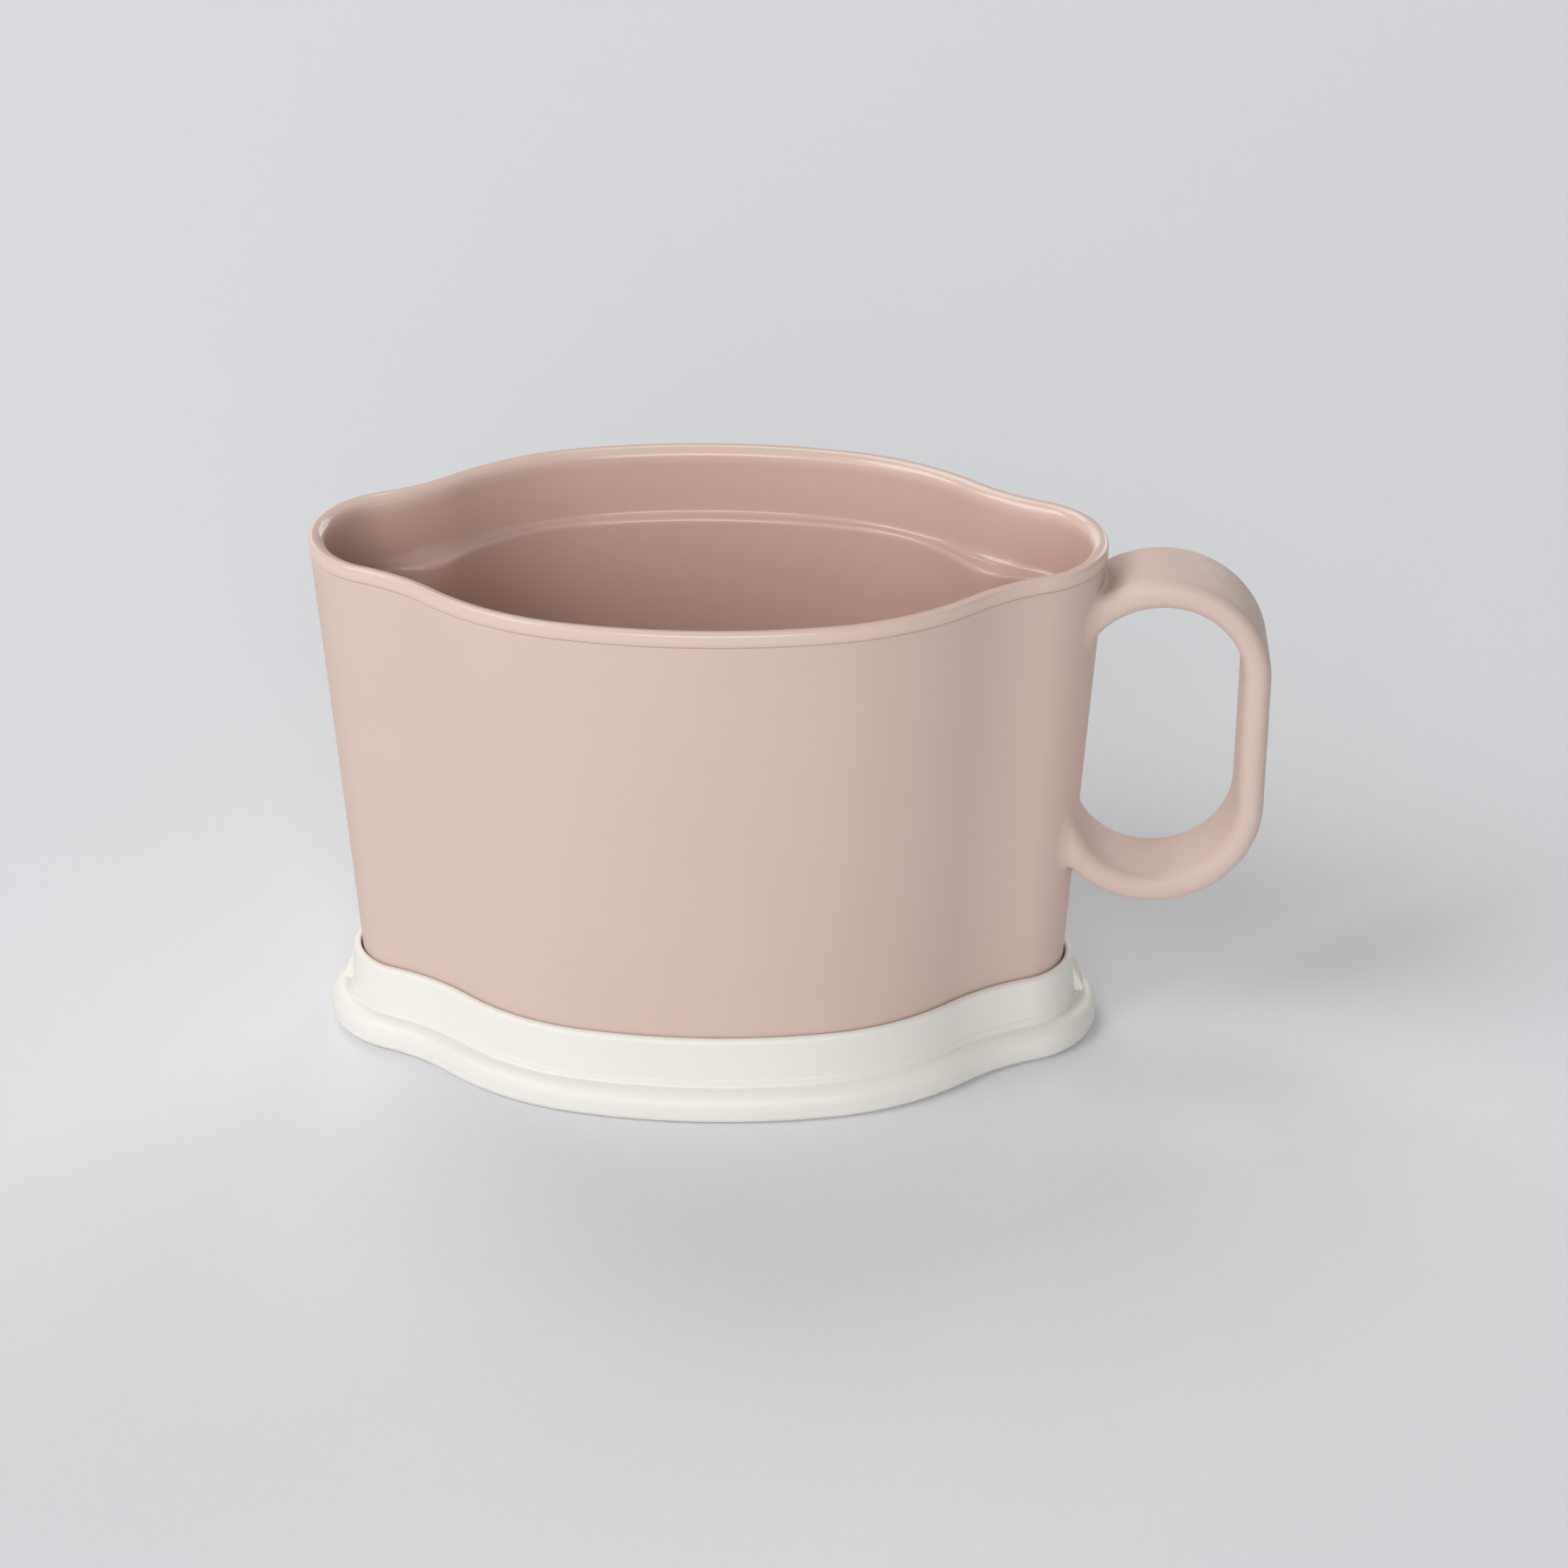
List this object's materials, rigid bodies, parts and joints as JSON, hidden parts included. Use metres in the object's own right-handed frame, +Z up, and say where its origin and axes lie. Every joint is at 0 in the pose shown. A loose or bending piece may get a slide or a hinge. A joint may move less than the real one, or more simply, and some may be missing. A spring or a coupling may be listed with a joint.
{
  "type": "soup mug",
  "caption": "Lemon-shaped double-wall plastic soup mug with a loop handle, standing in its upturned lid, which serves as a saucer.",
  "frame": {"origin": "on the table, at the middle of the whole object's footprint, handle included", "axes": "+X along the long plan axis towards the handle, -Y towards the camera in the picture, +Z up"},
  "size_m": [0.1572, 0.0704, 0.0916],
  "materials": {
    "outer_shell": "matte, dusty pink",
    "inner_cup": "glossy, dusty pink",
    "lid": "satin, ivory"
  },
  "bodies": {
    "lid": {"lid": "lid"},
    "mug": {"outer_shell": "outer_shell", "inner_cup": "inner_cup"}
  },
  "joints": [
    {"name": "lift_off", "type": "slide", "parent": "lid", "child": "mug", "axis": [0, 0, 1], "range_m": [0, 0.1]}
  ]
}
